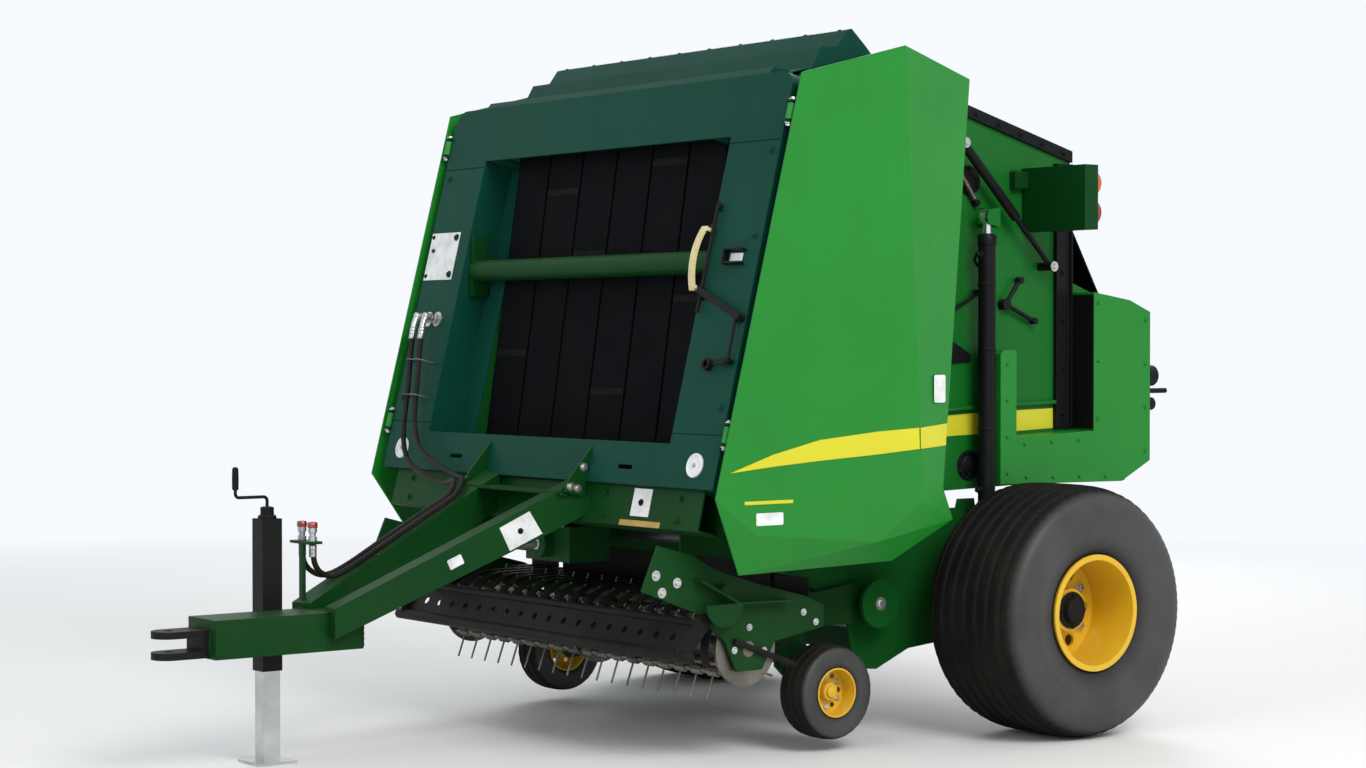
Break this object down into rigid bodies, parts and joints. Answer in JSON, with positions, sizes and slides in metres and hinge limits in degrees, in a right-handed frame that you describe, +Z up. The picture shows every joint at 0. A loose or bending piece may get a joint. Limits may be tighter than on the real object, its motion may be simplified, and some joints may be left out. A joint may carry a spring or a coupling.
{
  "type": "round baler",
  "caption": "Towed round baler with belts, tined pickup, tilting rear gate, hinged side shields and wide flotation tyres.",
  "frame": {"origin": "middle of the bounding box at floor level", "axes": "+X forward to the hitch, +Y to the machine's left, +Z up"},
  "size_m": [4.392, 2.72, 2.7307],
  "materials": {
    "dark_green_paint": "semi gloss",
    "green_paint": "semi gloss",
    "roller_steel": "worn",
    "belt_rubber": "matt",
    "cream_plastic": "satin",
    "hose_rubber": "satin",
    "black_steel": "satin",
    "white_plate": "satin",
    "bare_steel": "worn",
    "yellow_stripe": "gloss",
    "tine_steel": "worn",
    "tyre_rubber": "matt",
    "rim_yellow": "semi gloss",
    "amber_lens": "gloss",
    "red_lens": "gloss",
    "chrome_rod": "polished"
  },
  "bodies": {
    "chassis": {"front_frame": "dark_green_paint", "top_rails": "dark_green_paint", "side_walls": "green_paint", "axle": "dark_green_paint", "front_rollers": "roller_steel", "front_belts": "belt_rubber", "guide_tube": "green_paint", "drawbar": "dark_green_paint", "hitch": "black_steel", "gearbox": "dark_green_paint", "front_plates": "white_plate", "jack_tube": "black_steel", "guide_shoe": "cream_plastic", "guide_lever": "black_steel", "chain_drive": "bare_steel", "hoses": "hose_rubber"},
    "jack": {"jack_leg": "bare_steel"},
    "input": {"input_shaft": "bare_steel"},
    "door_left": {"shield_left": "green_paint", "stripe_left": "yellow_stripe"},
    "door_right": {"shield_right": "green_paint", "stripe_right": "yellow_stripe"},
    "pickup": {"pickup_frame": "green_paint", "strippers": "black_steel", "windguard": "black_steel"},
    "reel": {"pickup_reel": "tine_steel"},
    "gauge_wheel_left": {"gauge_tyre_left": "tyre_rubber", "gauge_rim_left": "rim_yellow"},
    "gauge_wheel_right": {"gauge_tyre_right": "tyre_rubber", "gauge_rim_right": "rim_yellow"},
    "wheel_left": {"tyre_left": "tyre_rubber", "rim_left": "rim_yellow"},
    "wheel_right": {"tyre_right": "tyre_rubber", "rim_right": "rim_yellow"},
    "gate": {"gate_sides": "green_paint", "gate_covers": "green_paint", "gate_edges": "black_steel", "gate_stripes": "yellow_stripe", "gate_rollers": "roller_steel", "gate_belts": "belt_rubber", "lamp_boards": "dark_green_paint", "amber_lamps": "amber_lens", "red_lamps": "red_lens", "tension_struts": "black_steel", "rear_latch": "black_steel"},
    "cylinder_left": {"barrel_left": "black_steel"},
    "piston_left": {"rod_left": "chrome_rod"},
    "cylinder_right": {"barrel_right": "black_steel"},
    "piston_right": {"rod_right": "chrome_rod"}
  },
  "joints": [
    {"name": "jack_slide", "type": "slide", "parent": "chassis", "child": "jack", "axis": [0, 0, 1], "range_m": [0, 0.3]},
    {"name": "input_spin", "type": "hinge", "parent": "chassis", "child": "input", "pos_m": [0.564, 0, 0.765], "axis": [1, 0, 0], "continuous": true},
    {"name": "door_left_swing", "type": "hinge", "parent": "chassis", "child": "door_left", "pos_m": [0.581, 1.1505, 1.023], "axis": [0.244, 0, -0.9698], "range_deg": [0, 75]},
    {"name": "door_right_swing", "type": "hinge", "parent": "chassis", "child": "door_right", "pos_m": [0.581, -1.1505, 1.023], "axis": [-0.244, 0, 0.9698], "range_deg": [0, 75]},
    {"name": "pickup_lift", "type": "hinge", "parent": "chassis", "child": "pickup", "pos_m": [-0.496, 0, 0.53], "axis": [0, 1, 0], "range_deg": [0, 7]},
    {"name": "reel_spin", "type": "hinge", "parent": "pickup", "child": "reel", "pos_m": [0.264, 0, 0.42], "axis": [0, 1, 0], "continuous": true},
    {"name": "gate_lift", "type": "hinge", "parent": "chassis", "child": "gate", "pos_m": [-0.736, 0, 2.34], "axis": [0, 1, 0], "range_deg": [0, 62]},
    {"name": "gauge_wheel_left_spin", "type": "hinge", "parent": "pickup", "child": "gauge_wheel_left", "pos_m": [-0.156, 0.885, 0.225], "axis": [0, 1, 0], "continuous": true},
    {"name": "wheel_left_spin", "type": "hinge", "parent": "chassis", "child": "wheel_left", "pos_m": [-1.156, 1.11, 0.495], "axis": [0, 1, 0], "continuous": true},
    {"name": "cylinder_left_tilt", "type": "hinge", "parent": "chassis", "child": "cylinder_left", "pos_m": [-1.068, 0.813, 0.87], "axis": [0, 1, 0], "range_deg": [-5, 1]},
    {"name": "piston_left_slide", "type": "slide", "parent": "cylinder_left", "child": "piston_left", "axis": [0, 0, 1], "range_m": [0, 0.455]},
    {"name": "gauge_wheel_right_spin", "type": "hinge", "parent": "pickup", "child": "gauge_wheel_right", "pos_m": [-0.156, -0.885, 0.225], "axis": [0, 1, 0], "continuous": true},
    {"name": "wheel_right_spin", "type": "hinge", "parent": "chassis", "child": "wheel_right", "pos_m": [-1.156, -1.11, 0.495], "axis": [0, 1, 0], "continuous": true},
    {"name": "cylinder_right_tilt", "type": "hinge", "parent": "chassis", "child": "cylinder_right", "pos_m": [-1.068, -0.813, 0.87], "axis": [0, 1, 0], "range_deg": [-5, 1]},
    {"name": "piston_right_slide", "type": "slide", "parent": "cylinder_right", "child": "piston_right", "axis": [0, 0, 1], "range_m": [0, 0.455]}
  ],
  "couplings": [
    {"joint": "cylinder_left_tilt", "follows": "gate_lift", "ratio": -0.04536},
    {"joint": "piston_left_slide", "follows": "gate_lift", "m_per_rad": 0.41489},
    {"joint": "cylinder_right_tilt", "follows": "gate_lift", "ratio": -0.04536},
    {"joint": "piston_right_slide", "follows": "gate_lift", "m_per_rad": 0.41489}
  ]
}
